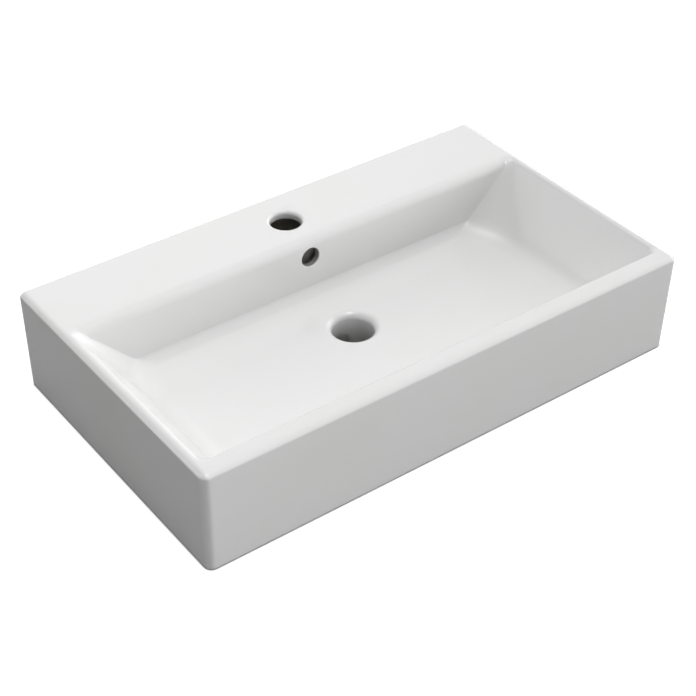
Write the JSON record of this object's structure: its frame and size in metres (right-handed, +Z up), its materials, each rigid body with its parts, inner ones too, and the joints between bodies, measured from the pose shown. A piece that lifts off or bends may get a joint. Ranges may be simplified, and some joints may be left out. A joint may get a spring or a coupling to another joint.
{
  "type": "countertop basin",
  "caption": "Rectangular white ceramic countertop basin with a flat tap deck, a bowl with sloping ends, a tap hole, an overflow hole and a waste hole.",
  "frame": {"origin": "centre of the footprint, on the worktop", "axes": "+X to the right as seen by a person standing at the basin, +Y to the back, where the tap deck is, +Z up"},
  "size_m": [0.6, 0.35, 0.12],
  "materials": {
    "glaze": "gloss",
    "bare_clay": "matte"
  },
  "bodies": {
    "root": {"bowl": "glaze", "apron": "glaze", "tap_deck": "glaze", "back_wall": "bare_clay", "overflow_duct": "bare_clay", "waste_boss": "bare_clay", "foot_ring": "bare_clay", "left_rib": "bare_clay", "right_rib": "bare_clay", "left_web": "bare_clay", "right_web": "bare_clay"}
  },
  "joints": []
}
